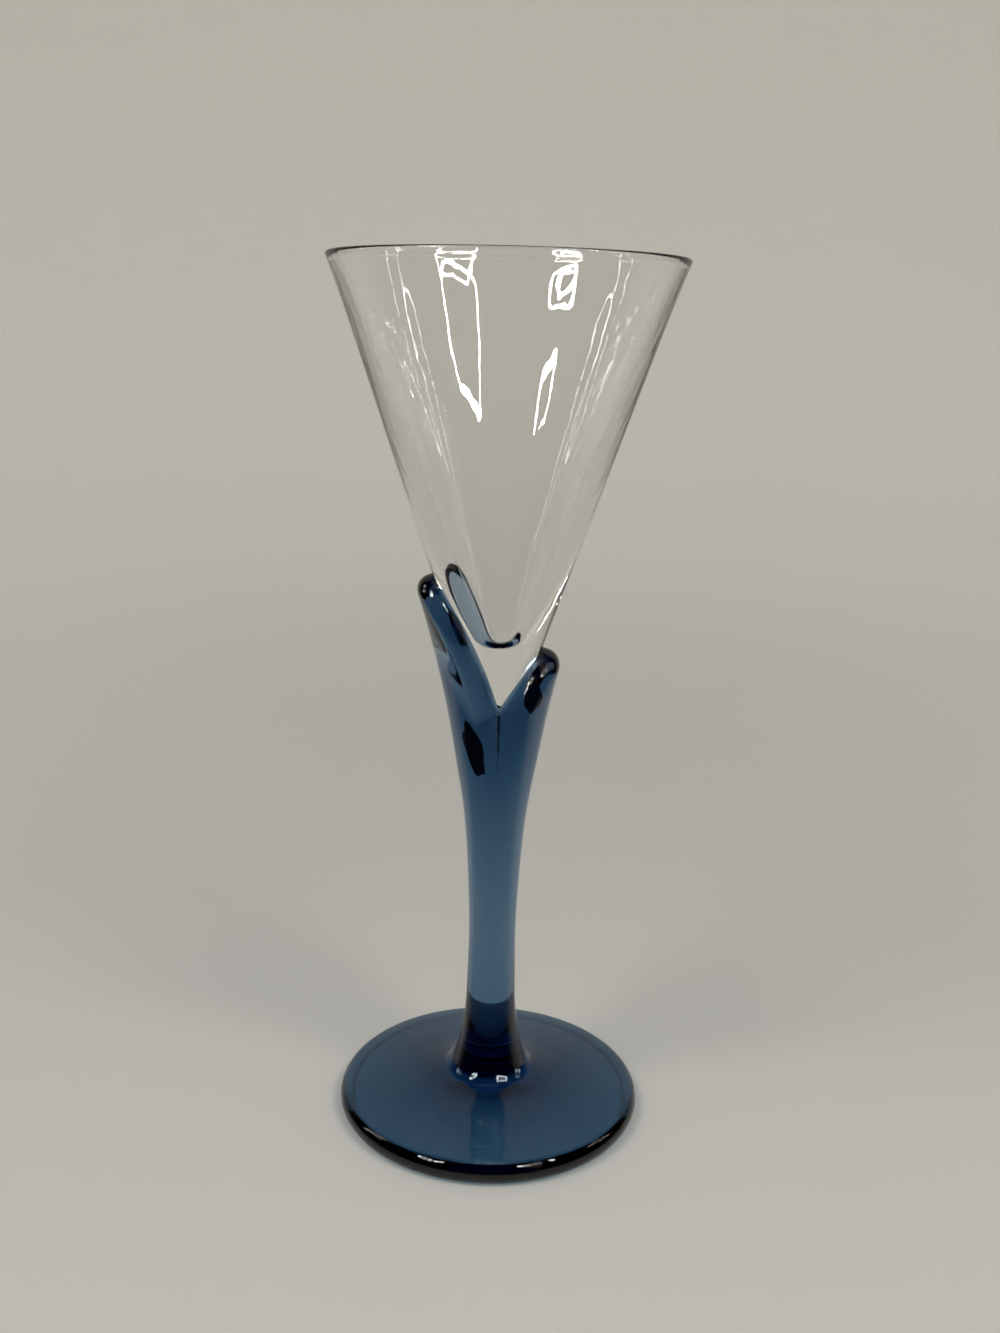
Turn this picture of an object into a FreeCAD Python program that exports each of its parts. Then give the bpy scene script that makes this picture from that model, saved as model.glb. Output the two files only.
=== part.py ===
"""Stemmed glass: clear cone bowl, blue stem with a two-leaf calyx, blue foot.

Millimetres, +Z up. The origin is the middle of the ring that the glass stands on.
The front notch between the two leaves faces -Y and the tall leaf is at -X.
The three glasses were joined hot, so they meet face to face with no gap.
"""
import FreeCAD
import Part
import math
import os

# Overall sizes
total_height = 210.0
rim_diameter = 81.4
foot_diameter = 76.4

# Bowl: two straight cones of different angle, so the wall thins towards the rim
outer_apex_height = 90.5
inner_apex_rise = 24.6
rim_wall = 1.3
rim_flare = 0.46
flare_length = 15.0
bowl_tip_radius = 5.5
cavity_floor_radius = 4.45

# Stem: waist, and the hot joint with the foot
waist_height = 45.5
waist_diameter = 11.74
joint_height = 12.0
joint_diameter = 19.0

# Calyx: a thick cup round the bowl's tip, sheared from front to back into two leaves.
# Its places are heights above the apex of the bowl's outer cone.
calyx_swell_rise = 2.0
calyx_swell_diameter = 19.7
calyx_wall = 4.8
tall_leaf_rise = 48.1
short_leaf_rise = 30.6
notch_rise = 16.7
leaf_edge_radius = 3.6

# Crease: the closed foot of each notch, where the two leaves' rounded lips meet
crease_length = 16.0
crease_reach_share = 0.26

# Foot: a thick disc with a rounded edge, a raised middle and a hollowed underside
foot_edge_thickness = 5.7
foot_edge_reach = 2.3
foot_ring_diameter = 70.0
foot_ring_width = 2.0
foot_kick = 1.6

# How far the calyx's blank reaches into the bowl, and the cutting body past the rim
overrun = 2.5

# Stations of the stem's outline, as shares of its named heights and radii
flare_height_shares = [0.0, 0.07, 0.15, 0.25, 0.40, 0.65]
flare_radius_shares = [1.0, 0.774, 0.565, 0.366, 0.174, 0.063]
swell_height_shares = [0.20, 0.40, 0.60, 0.80]
swell_radius_shares = [0.04, 0.158, 0.317, 0.598]
cup_height_shares = [0.20, 0.40, 0.65, 0.90, 1.12]
cup_wall_shares = [1.60, 1.35, 1.13, 1.03, 1.0]

# Stations of the foot's upper face, outwards from the joint to the edge
foot_radius_shares = [0.045, 0.125, 0.246, 0.436, 0.70]
foot_rise_shares = [0.80, 0.635, 0.49, 0.35, 0.175]

# Places round the axis, in degrees from +X: the leaves' middles and the notches between
tall_leaf_angle = 187.0
short_leaf_angle = 0.0
back_notch_angle = 88.0
front_notch_angle = -88.0

# The leaves' edge rises from a notch as a power of a sine, and starts a little rounded
edge_rise_power = 1.3
edge_start_share = 0.03

# Places along a leaf's flank from the notch, and rings of the skin from the stem to the edge
flank_steps = 12
flank_crowding = 1.5
calyx_base_share = 0.3
skin_blend_shares = [0.3, 0.57, 0.78, 0.92]
edge_round_steps = 4

rim_radius = rim_diameter / 2
foot_radius = foot_diameter / 2
waist_radius = waist_diameter / 2
joint_radius = joint_diameter / 2
inner_apex_height = outer_apex_height + inner_apex_rise
calyx_swell_height = outer_apex_height + calyx_swell_rise
tall_leaf_height = outer_apex_height + tall_leaf_rise
short_leaf_height = outer_apex_height + short_leaf_rise
notch_height = outer_apex_height + notch_rise
crease_foot_height = notch_height - crease_length
calyx_base_height = waist_height + calyx_base_share * (crease_foot_height - waist_height)
axis = FreeCAD.Vector(0, 0, 1)
origin = FreeCAD.Vector(0, 0, 0)


def point(radius, height):
    """A point of a half section, in the XZ plane."""
    return FreeCAD.Vector(radius, 0, height)


def line(start, end):
    return Part.LineSegment(start, end).toShape()


def arc(start, middle, end):
    return Part.Arc(start, middle, end).toShape()


def curve(points):
    """A smooth curve through every point."""
    spline = Part.BSplineCurve()
    spline.interpolate(points)
    return spline.toShape()


def turned(edges):
    """The solid that a closed half section makes round the glass's axis."""
    face = Part.Face(Part.Wire(edges))
    return face.revolve(origin, axis, 360)


def outer_slope():
    """Radius gained per unit of height on the bowl's outside."""
    return (rim_radius - rim_flare) / (total_height - outer_apex_height)


def inner_slope():
    """Radius gained per unit of height inside the bowl."""
    return (rim_radius - rim_flare - rim_wall) / (total_height - inner_apex_height)


def cone_radius(height):
    """Radius of the bowl's straight outer cone."""
    return outer_slope() * (height - outer_apex_height)


def tip_arc(apex_height, slope, radius):
    """The rounded end of a cone: its lowest point, a middle point and the tangent point."""
    half_angle = math.atan(slope)
    centre = apex_height + radius / math.sin(half_angle)
    turn = math.pi / 2 - half_angle
    places = []
    for angle in (0, turn / 2, turn):
        places.append(point(radius * math.sin(angle), centre - radius * math.cos(angle)))
    return places


def flared(foot_of_flare, slope, rise, spread):
    """The gentle outward curve below the rim, from a point on the straight cone."""
    middle = foot_of_flare + point(slope * rise / 2, rise / 2)
    end = foot_of_flare + point(slope * rise + spread, rise)
    bend = Part.BezierCurve()
    bend.setPoles([foot_of_flare, middle, end])
    return bend.toShape(), end


def make_bowl():
    """Clear bowl with a heavy, solid tip."""
    lip = rim_wall / 2
    flare_start = total_height - flare_length
    flare_rise = flare_length - lip
    outside = tip_arc(outer_apex_height, outer_slope(), bowl_tip_radius)
    inside = tip_arc(inner_apex_height, inner_slope(), cavity_floor_radius)
    outer_foot = point(cone_radius(flare_start), flare_start)
    inner_foot = point(inner_slope() * (flare_start - inner_apex_height), flare_start)
    outer_bend, outer_rim = flared(outer_foot, outer_slope(), flare_rise, rim_flare)
    inner_bend, inner_rim = flared(inner_foot, inner_slope(), flare_rise, rim_flare)
    lip_top = (outer_rim + inner_rim) / 2 + point(0, lip)
    return turned([
        arc(*outside),
        line(outside[-1], outer_foot),
        outer_bend,
        arc(outer_rim, lip_top, inner_rim),
        inner_bend,
        line(inner_foot, inside[-1]),
        arc(*inside),
        line(inside[0], outside[0]),
    ])


def make_bowl_body():
    """The bowl's outside as a solid, which shapes the socket in the calyx."""
    outside = tip_arc(outer_apex_height, outer_slope(), bowl_tip_radius)
    top_height = total_height + overrun
    top = point(cone_radius(top_height), top_height)
    return turned([
        arc(*outside),
        line(outside[-1], top),
        line(top, point(0, top_height)),
        line(point(0, top_height), outside[0]),
    ])


def stem_outline():
    """Height and radius down the stem's outside, from the foot joint past the tall leaf."""
    places = []
    for rise, spread in zip(flare_height_shares, flare_radius_shares):
        height = joint_height + rise * (waist_height - joint_height)
        places.append((height, waist_radius + spread * (joint_radius - waist_radius)))
    places.append((waist_height, waist_radius))
    swell_radius = calyx_swell_diameter / 2
    for rise, spread in zip(swell_height_shares, swell_radius_shares):
        height = waist_height + rise * (calyx_swell_height - waist_height)
        places.append((height, waist_radius + spread * (swell_radius - waist_radius)))
    places.append((calyx_swell_height, swell_radius))
    for rise, wall in zip(cup_height_shares, cup_wall_shares):
        height = calyx_swell_height + rise * (tall_leaf_height - calyx_swell_height)
        places.append((height, cone_radius(height) + wall * calyx_wall))
    return places


def stem_radius(height, places):
    """Radius of the stem's outside at a height, on a smooth curve through its stations."""
    last = len(places) - 2
    span = 0
    while span < last and height > places[span + 1][0]:
        span += 1
    before, start, end, after = (
        places[max(span - 1, 0)],
        places[span],
        places[span + 1],
        places[min(span + 2, last + 1)],
    )
    width = end[0] - start[0]
    share = (height - start[0]) / width
    start_slope = (end[1] - before[1]) / (end[0] - before[0])
    end_slope = (after[1] - start[1]) / (after[0] - start[0])
    rest = 1 - share
    value = start[1] * rest * rest * (1 + 2 * share) + end[1] * share * share * (3 - 2 * share)
    return value + width * share * rest * (start_slope * rest - end_slope * share)


def flanks():
    """Each flank of a leaf: its leaf's angle, its notch's angle and its leaf's height."""
    turns = (
        (tall_leaf_angle, back_notch_angle, tall_leaf_height),
        (short_leaf_angle, back_notch_angle, short_leaf_height),
        (short_leaf_angle, front_notch_angle, short_leaf_height),
        (tall_leaf_angle - 360, front_notch_angle, tall_leaf_height),
    )
    return [(math.radians(leaf), math.radians(notch), height) for leaf, notch, height in turns]


def flank_place(share, leaf_height):
    """The leaves' edge on the bowl, a share of the way from notch to leaf: height, slope."""
    full = math.hypot(1, edge_start_share) - edge_start_share
    eased = (math.hypot(share, edge_start_share) - edge_start_share) / full
    turn = eased * math.pi / 2
    rise = leaf_height - notch_height
    height = notch_height + rise * math.sin(turn) ** edge_rise_power
    eased_slope = share / math.hypot(share, edge_start_share) / full
    steepness = edge_rise_power * math.sin(turn) ** (edge_rise_power - 1) * math.cos(turn)
    return height, rise * steepness * eased_slope * math.pi / 2


def flank_shares():
    """Places along a flank, crowded beside the notch."""
    return [(step / flank_steps) ** flank_crowding for step in range(flank_steps + 1)]


def edge_stations():
    """Share, angle, height and slope along the leaves' edge, from the tall leaf's middle."""
    stations = []
    for number, (leaf, notch, leaf_height) in enumerate(flanks()):
        span = leaf - notch
        shares = flank_shares() if number % 2 else list(reversed(flank_shares()))
        for share in shares[:-1]:
            height, slope = flank_place(share, leaf_height)
            stations.append((share, notch + share * span, height, slope / span))
    return stations


def edge_ring(stand_off, setback_share):
    """Stations off the bowl's cone and back from the leaves' edge, down each crease."""
    lean = math.atan(outer_slope())
    places = []
    for share, angle, height, slope in edge_stations():
        reach = cone_radius(height) + stand_off(height) * math.cos(lean)
        climb = slope / math.cos(lean)
        size = math.hypot(climb, reach)
        away = min(1.0, share / crease_reach_share)
        away = away * away * (3 - 2 * away)
        aside = leaf_edge_radius * climb / size * away
        below = leaf_edge_radius * reach / size * away + crease_length * (1 - away)
        level = height - setback_share * below * math.cos(lean)
        off = stand_off(level - stand_off(level) * math.sin(lean))
        low = level - off * math.sin(lean)
        reach = cone_radius(low) + off / math.cos(lean)
        places.append((angle + setback_share * aside / reach, reach, low))
    return places


def ring_points(places):
    """Points for stations of angle, radius and height."""
    points = []
    for angle, radius, height in places:
        points.append(FreeCAD.Vector(radius * math.cos(angle), radius * math.sin(angle), height))
    return points


def shared_path(rings):
    """One spacing of the stations that suits every ring: their mean share of each way round."""
    totals = [0.0]
    for _ in rings[0]:
        totals.append(0.0)
    for places in rings:
        points = ring_points(places)
        points.append(points[0])
        steps = [points[number].distanceToPoint(points[number + 1]) for number in range(len(places))]
        way = 0.0
        for number, step in enumerate(steps):
            way += step / sum(steps) / len(rings)
            totals[number + 1] += way
    return totals


def skin_ring(points, path):
    """A closed curve through points, at the shared spacing."""
    spline = Part.BSplineCurve()
    spline.interpolate(Points=points, PeriodicFlag=True, Parameters=path)
    return spline


def skinned(rings):
    """One smooth surface through every ring, and its first and last ring as edges."""
    path = shared_path(rings)
    curves = [skin_ring(ring_points(places), path) for places in rings]
    climbs = [0.0]
    for lower, upper in zip(rings, rings[1:]):
        pairs = zip(ring_points(lower), ring_points(upper))
        steps = [start.distanceToPoint(end) for start, end in pairs]
        climbs.append(climbs[-1] + sum(steps) / len(steps))
    rows = []
    for poles in zip(*[ring_curve.getPoles() for ring_curve in curves]):
        across = Part.BSplineCurve()
        across.interpolate(Points=list(poles), Parameters=climbs)
        rows.append(across.getPoles())
    surface = Part.BSplineSurface()
    surface.buildFromPolesMultsKnots(
        rows,
        curves[0].getMultiplicities(),
        across.getMultiplicities(),
        curves[0].getKnots(),
        across.getKnots(),
        True,
        False,
        curves[0].Degree,
        across.Degree,
    )
    return surface.toShape(), curves[0].toShape(), curves[-1].toShape()


def wall_ring(share, outer_edge, outline):
    """Stations on the calyx's outside, part of the way from its base up to the edge."""
    places = []
    for angle, _, top in outer_edge:
        height = calyx_base_height + share * (top - calyx_base_height)
        places.append((angle, stem_radius(height, outline), height))
    return places


def make_calyx_stem():
    """Blue stem that opens into the calyx, with a socket shaped by the bowl."""
    outline = stem_outline()
    lean = math.atan(outer_slope())

    def wall(height):
        return (stem_radius(height, outline) - cone_radius(height)) * math.cos(lean)

    outer_edge = edge_ring(wall, 1.0)
    angles = [angle for angle, _, _ in outer_edge]
    stem_heights = [height for height, _ in outline if height < calyx_base_height]
    rings = []
    for height in stem_heights + [calyx_base_height]:
        radius = stem_radius(height, outline)
        rings.append([(angle, radius, height) for angle in angles])
    for share in skin_blend_shares:
        rings.append(wall_ring(share, outer_edge, outline))
    for step in range(edge_round_steps + 1):
        round_angle = math.pi / 2 * step / edge_round_steps
        inset = leaf_edge_radius * (1 - math.cos(round_angle))
        rings.append(edge_ring(lambda height: wall(height) - inset, 1 - math.sin(round_angle)))
    rings.append(edge_ring(lambda height: 0.0, 0.0))
    rings.append(edge_ring(lambda height: -overrun, 0.0))
    core = [(angle, overrun / 2, notch_height - overrun) for angle, _, _ in rings[-1]]
    skin, base_edge, inner_edge = skinned(rings)
    core_edge = skin_ring(ring_points(core), shared_path(rings)).toShape()
    funnel = Part.makeRuledSurface(inner_edge, core_edge)
    ends = [Part.Face(Part.Wire(edge)) for edge in (base_edge, core_edge)]
    shell = Part.Shell(skin.Faces + funnel.Faces + ends)
    shell.sewShape()
    blank = Part.Solid(shell)
    if blank.Volume < 0:
        blank.reverse()
    return blank.cut(make_bowl_body())


def make_foot():
    """Blue foot, hollowed below so that it stands on a ring near its edge."""
    seat = point(joint_radius, joint_height)
    edge_top = point(foot_radius - foot_edge_reach, foot_edge_thickness)
    edge_side = point(foot_radius, foot_edge_thickness / 2)
    ring_outer = point(foot_ring_diameter / 2 + foot_ring_width / 2, 0)
    ring_inner = point(foot_ring_diameter / 2 - foot_ring_width / 2, 0)
    span = edge_top.x - seat.x
    drop = seat.z - edge_top.z
    upper = [seat]
    for out, rise in zip(foot_radius_shares, foot_rise_shares):
        upper.append(point(seat.x + out * span, edge_top.z + rise * drop))
    upper.append(edge_top)
    kick_top = point(0, foot_kick)
    kick_radius = (ring_inner.x ** 2 + foot_kick ** 2) / (2 * foot_kick)
    half_turn = math.asin(ring_inner.x / kick_radius) / 2
    kick_middle = point(
        kick_radius * math.sin(half_turn),
        foot_kick - kick_radius * (1 - math.cos(half_turn)),
    )
    return turned([
        line(point(0, seat.z), seat),
        curve(upper),
        arc(edge_top, edge_side, ring_outer),
        line(ring_outer, ring_inner),
        arc(ring_inner, kick_middle, kick_top),
        line(kick_top, point(0, seat.z)),
    ])


def main():
    os.makedirs("parts", exist_ok=True)
    pieces = {
        "bowl": make_bowl(),
        "calyx_stem": make_calyx_stem(),
        "foot": make_foot(),
    }
    for name, shape in pieces.items():
        shape.exportStep("parts/" + name + ".step")
        print(name, shape.isValid(), len(shape.Solids), round(shape.Volume, 1), len(shape.Faces))


main()
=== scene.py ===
"""Looks of a stemmed glass: a clear cone bowl in the two-leaf calyx of a blue stem, on a blue foot.

Metres, +Z up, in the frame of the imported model. The front notch between the leaves faces -Y and
the tall leaf is at -X. The three glasses were joined hot, so where two of them meet there is no
air and no reflection: those faces are called fused here.
"""
import logging
import math
from dataclasses import dataclass, field
from enum import Enum
from typing import Callable, Mapping, Sequence

import bmesh
import bpy
import numpy as np
from mathutils import Matrix, Vector


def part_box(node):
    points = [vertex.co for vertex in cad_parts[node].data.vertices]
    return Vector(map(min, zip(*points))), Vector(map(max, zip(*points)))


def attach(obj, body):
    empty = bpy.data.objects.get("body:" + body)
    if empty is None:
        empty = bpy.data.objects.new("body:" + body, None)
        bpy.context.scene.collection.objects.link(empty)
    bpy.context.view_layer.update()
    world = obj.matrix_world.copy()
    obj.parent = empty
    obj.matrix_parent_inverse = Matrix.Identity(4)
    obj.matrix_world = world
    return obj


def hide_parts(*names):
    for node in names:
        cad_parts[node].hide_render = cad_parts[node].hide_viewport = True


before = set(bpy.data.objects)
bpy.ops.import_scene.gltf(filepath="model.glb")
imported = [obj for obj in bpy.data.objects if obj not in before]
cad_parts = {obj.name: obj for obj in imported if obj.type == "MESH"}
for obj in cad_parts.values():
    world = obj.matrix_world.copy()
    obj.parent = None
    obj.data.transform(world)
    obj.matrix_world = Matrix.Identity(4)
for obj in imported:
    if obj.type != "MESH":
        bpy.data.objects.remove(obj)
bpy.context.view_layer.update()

LOG = logging.getLogger("stemmed_glass")
MILLIMETRE = 0.001
BODY = "root"

# Hair's breadth between fused faces, so that they never lie in one plane
FUSED_GAP = 0.004 * MILLIMETRE

# Steepest turn between two faces of one round surface
SHARPEST_ROUND = math.radians(40)

# How far a mesh point may stray from the place that it is looked for at
SLACK = 0.01 * MILLIMETRE

# Points of a turned piece that are closer than this become one
SEAM = 0.001 * MILLIMETRE

# Walls of glass and other surfaces that light may cross or meet on its way
MOST_CROSSINGS = 32

# Last part of a colour that covers fully
OPAQUE = (1.0,)

WHITE = (1.0, 1.0, 1.0) + OPAQUE


class Slot(Enum):
    """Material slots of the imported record."""

    CLEAR = "clear_glass"
    BLUE = "blue_glass"


class Lamp(Enum):
    """Kinds of lamp tube in the studio."""

    FRONT = "lamp_tube"
    SIDE = "side_lamp_tube"


def smooth_step(share: np.ndarray) -> np.ndarray:
    """Ease a share from 0 to 1, flat at both ends."""
    held = np.clip(share, 0.0, 1.0)
    return held * held * (3 - 2 * held)


def smooth_curve(places: Sequence[float], values: Sequence[float]) -> Callable:
    """Make a natural cubic spline through values at rising places.

    Args:
        places: Where the values lie, in rising order.
        values: The value at each place.

    Returns:
        A function of an array of places that gives the spline's values there.
    """
    x = np.asarray(places, float)
    y = np.asarray(values, float)
    width = np.diff(x)
    count = len(x)
    system = np.eye(count)
    target = np.zeros(count)
    target[1:-1] = 6 * np.diff(np.diff(y) / width)
    for k in range(1, count - 1):
        system[k, k - 1 : k + 2] = width[k - 1], 2 * (width[k - 1] + width[k]), width[k]
    bend = np.linalg.solve(system, target)

    def value(at: np.ndarray) -> np.ndarray:
        """Value of the spline at an array of places."""
        at = np.asarray(at, float)
        k = np.clip(np.searchsorted(x, at) - 1, 0, count - 2)
        left, right, h = at - x[k], x[k + 1] - at, width[k]
        cubic = (bend[k] * right**3 + bend[k + 1] * left**3) / (6 * h)
        line = (y[k] / h - bend[k] * h / 6) * right + (y[k + 1] / h - bend[k + 1] * h / 6) * left
        return cubic + line

    return value


def arc_through(start: np.ndarray, middle: np.ndarray, end: np.ndarray, steps: int) -> np.ndarray:
    """Points of the arc through three points of a half section.

    Args:
        start: First point, as radius and height.
        middle: A point between.
        end: Last point.
        steps: Number of steps along the arc.

    Returns:
        An array of steps + 1 points.
    """
    side_a, side_b = middle - start, end - start
    system = np.array([side_a, side_b])
    target = np.array([side_a @ side_a, side_b @ side_b]) / 2
    centre = start + np.linalg.solve(system, target)
    first = math.atan2(*(start - centre)[::-1])
    turn_middle = wrapped(math.atan2(*(middle - centre)[::-1]) - first)
    turn_end = wrapped(math.atan2(*(end - centre)[::-1]) - first)
    if turn_end * turn_middle < 0:
        turn_end += math.copysign(math.tau, turn_middle)
    angles = first + np.linspace(0, turn_end, steps + 1)
    reach = np.linalg.norm(start - centre)
    return centre + reach * np.stack([np.cos(angles), np.sin(angles)], axis=1)


def straight(start: np.ndarray, end: np.ndarray, steps: int) -> np.ndarray:
    """Points from start to end, both kept, in even steps."""
    return start + np.linspace(0, 1, steps + 1)[:, None] * (end - start)


def joined(runs: Sequence[np.ndarray]) -> np.ndarray:
    """Join runs of points end to start, with each shared point once."""
    return np.concatenate([runs[0]] + [run[1:] for run in runs[1:]])


def between(start: float, end: float, shares: Sequence[float]) -> list[float]:
    """Values that lie each share of the way from start to end."""
    return [start + share * (end - start) for share in shares]


def steps_to(start: float, end: float, steps: int) -> np.ndarray:
    """Even steps from start to end, without the start."""
    return np.linspace(start, end, steps + 1)[1:]


def wrapped(angle: np.ndarray) -> np.ndarray:
    """Bring an angle to within half a turn of zero."""
    return (angle + math.pi) % math.tau - math.pi


class Bench:
    """A node tree whose nodes are added and wired in one call each."""

    def __init__(self, tree: bpy.types.NodeTree) -> None:
        """Work on an empty tree."""
        self.tree = tree

    @classmethod
    def material(cls, name: str) -> tuple[bpy.types.Material, "Bench"]:
        """Make an empty node material and its bench."""
        material = bpy.data.materials.new(name)
        material.use_nodes = True
        material.node_tree.nodes.clear()
        return material, cls(material.node_tree)

    def fill(self, node: bpy.types.Node, sockets: Mapping) -> bpy.types.Node:
        """Fill a node's inputs.

        Args:
            node: The node.
            sockets: For an input's name or number, a value, an output, or a node that feeds it
                from its first output.

        Returns:
            The node.
        """
        for key, value in sockets.items():
            if isinstance(value, bpy.types.Node):
                value = value.outputs[0]
            if isinstance(value, bpy.types.NodeSocket):
                self.tree.links.new(value, node.inputs[key])
            else:
                node.inputs[key].default_value = value
        return node

    def add(self, kind: str, **sockets: object) -> bpy.types.Node:
        """Add a node, with inputs filled by name, where _ stands for a space."""
        return self.fill(self.tree.nodes.new(kind), {key.replace("_", " "): sockets[key] for key in sockets})

    def maths(self, operation: str, first: object, second: object = 0.0) -> bpy.types.Node:
        """Add a Math node on two nodes, sockets or numbers."""
        node = self.tree.nodes.new("ShaderNodeMath")
        node.operation = operation
        return self.fill(node, {0: first, 1: second})

    def attribute(self, name: str) -> bpy.types.NodeSocket:
        """Read a number that the mesh carries."""
        node = self.tree.nodes.new("ShaderNodeAttribute")
        node.attribute_name = name
        return node.outputs["Fac"]

    def mirrored(self) -> bpy.types.Node:
        """Add a number that is 1 for light that the glass has mirrored on its way, and 0 for any other."""
        return self.maths("MINIMUM", self.add("ShaderNodeLightPath").outputs["Glossy Depth"], 1.0)

    def mixed(self, share: object, first: bpy.types.Node, second: bpy.types.Node) -> bpy.types.Node:
        """Mix two shaders."""
        return self.fill(self.tree.nodes.new("ShaderNodeMixShader"), {0: share, 1: first, 2: second})

    def open_air(self) -> bpy.types.Node:
        """Add a shader that lets all light pass."""
        return self.add("ShaderNodeBsdfTransparent")

    def finish(self, surface: bpy.types.Node) -> bpy.types.Node:
        """Wire the surface to the material's output, and return that node."""
        return self.add("ShaderNodeOutputMaterial", Surface=surface)


@dataclass(frozen=True)
class BowlShape:
    """Sizes of the clear bowl: two straight cones that give a wall thinning to the rim."""

    rim_radius: float
    height: float
    outer_apex: float = 90.5 * MILLIMETRE
    inner_apex_rise: float = 24.6 * MILLIMETRE
    rim_wall: float = 1.3 * MILLIMETRE
    rim_flare: float = 0.46 * MILLIMETRE
    flare_length: float = 15.0 * MILLIMETRE
    tip_radius: float = 5.5 * MILLIMETRE
    cavity_floor_radius: float = 4.45 * MILLIMETRE

    @classmethod
    def fitted(cls, box: Sequence[Vector]) -> "BowlShape":
        """Size the bowl so that the widest part of its lip fills its box.

        Args:
            box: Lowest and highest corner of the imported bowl.

        Returns:
            The sized shape.
        """
        lip_drop = cls.rim_wall / 2
        grow = (box[1].z - cls.outer_apex) / (box[1].z - lip_drop - cls.outer_apex)
        return cls(rim_radius=cls.rim_flare + (box[1].x - cls.rim_flare) * grow, height=box[1].z)

    @property
    def outer_slope(self) -> float:
        """Radius gained per unit of height on the outside."""
        return (self.rim_radius - self.rim_flare) / (self.height - self.outer_apex)

    @property
    def inner_apex(self) -> float:
        """Height of the inner cone's apex."""
        return self.outer_apex + self.inner_apex_rise

    @property
    def inner_slope(self) -> float:
        """Radius gained per unit of height inside."""
        reach = self.rim_radius - self.rim_flare - self.rim_wall
        return reach / (self.height - self.inner_apex)

    @property
    def lean(self) -> float:
        """Angle between the outside and the axis."""
        return math.atan(self.outer_slope)

    def cone_radius(self, height: np.ndarray) -> np.ndarray:
        """Radius of the straight outer cone at a height."""
        return self.outer_slope * (height - self.outer_apex)

    def tip(self, apex: float, slope: float, radius: float, steps: int) -> np.ndarray:
        """Rounded end of a cone, from the axis to where it meets the cone."""
        half_angle = math.atan(slope)
        centre = apex + radius / math.sin(half_angle)
        turns = np.linspace(0, math.pi / 2 - half_angle, steps + 1)
        return np.stack([radius * np.sin(turns), centre - radius * np.cos(turns)], axis=1)

    def outer_tip(self, steps: int) -> np.ndarray:
        """Rounded tip of the outside."""
        return self.tip(self.outer_apex, self.outer_slope, self.tip_radius, steps)

    def flare(self, foot: np.ndarray, slope: float, steps: int) -> np.ndarray:
        """Gentle outward curve below the rim, from a point on the straight cone."""
        rise = self.flare_length - self.rim_wall / 2
        middle = foot + np.array([slope * rise / 2, rise / 2])
        end = foot + np.array([slope * rise + self.rim_flare, rise])
        share = np.linspace(0, 1, steps + 1)[:, None]
        return (1 - share) ** 2 * foot + 2 * share * (1 - share) * middle + share**2 * end


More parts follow.
